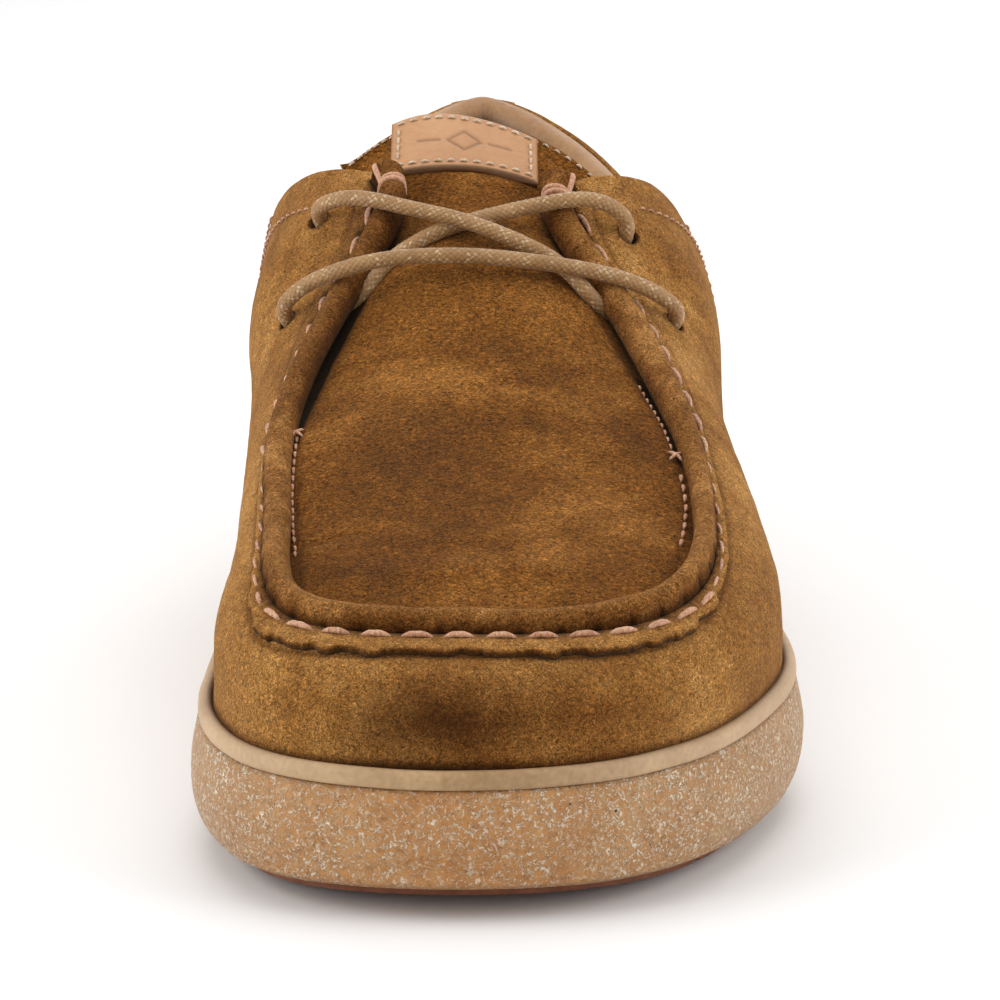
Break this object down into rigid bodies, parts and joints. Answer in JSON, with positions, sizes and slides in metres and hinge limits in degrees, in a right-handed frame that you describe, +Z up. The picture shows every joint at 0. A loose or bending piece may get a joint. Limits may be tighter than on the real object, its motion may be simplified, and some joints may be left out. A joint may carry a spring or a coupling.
{
  "type": "laced moccasin shoe",
  "caption": "Left low suede shoe with a hand-sewn apron seam, one round lace, padded heel collar and a thick gum-rubber cup sole.",
  "frame": {"origin": "on the ground under the middle of the shoe's length and width", "axes": "+Z up, toe towards -Y, heel towards +Y, +X the outer (lateral) side of this left shoe"},
  "size_m": [0.1128, 0.2985, 0.1091],
  "materials": {
    "gum_rubber": "cast gum rubber with a pale crinkle",
    "rim_rubber": "smooth matt rubber",
    "tread_rubber": "matt rubber",
    "foam": "soft closed-cell foam",
    "steel": "plain rolled steel",
    "board": "pressed fibre board",
    "footbed_leather": "smooth leather over cork and latex",
    "suede": "napped tobacco-brown suede",
    "lining_leather": "smooth natural leather",
    "collar_leather": "smooth soft leather",
    "label_leather": "smooth vegetable-tanned leather",
    "thread": "waxed twisted thread",
    "lace_cotton": "waxed round braid",
    "aglet": "clear-coated brown film"
  },
  "bodies": {
    "upper_and_sole": {"outsole": "gum_rubber", "sole_rim": "rim_rubber", "tread_forefoot": "tread_rubber", "tread_heel": "tread_rubber", "midsole": "foam", "shank": "steel", "rand": "board", "insole_board": "board", "footbed": "footbed_leather", "vamp": "suede", "quarter_medial": "suede", "quarter_lateral": "suede", "backstay": "suede", "apron": "suede", "seam_ridge": "suede", "seam_flange": "suede", "vamp_lining": "lining_leather", "quarter_lining": "lining_leather", "apron_lining": "lining_leather", "heel_counter": "board", "collar_padding": "foam", "collar_cover": "collar_leather", "hand_stitches": "thread", "lace": "lace_cotton", "lace_tail_medial": "lace_cotton", "lace_tail_lateral": "lace_cotton", "aglet_medial": "aglet", "aglet_lateral": "aglet"},
    "tongue": {"tongue": "suede", "tongue_lining": "lining_leather", "label": "label_leather"}
  },
  "joints": [
    {"name": "tongue_hinge", "type": "hinge", "parent": "upper_and_sole", "child": "tongue", "pos_m": [0, 0.0105, 0.091], "axis": [1, 0, 0], "range_deg": [-30, 0]}
  ]
}
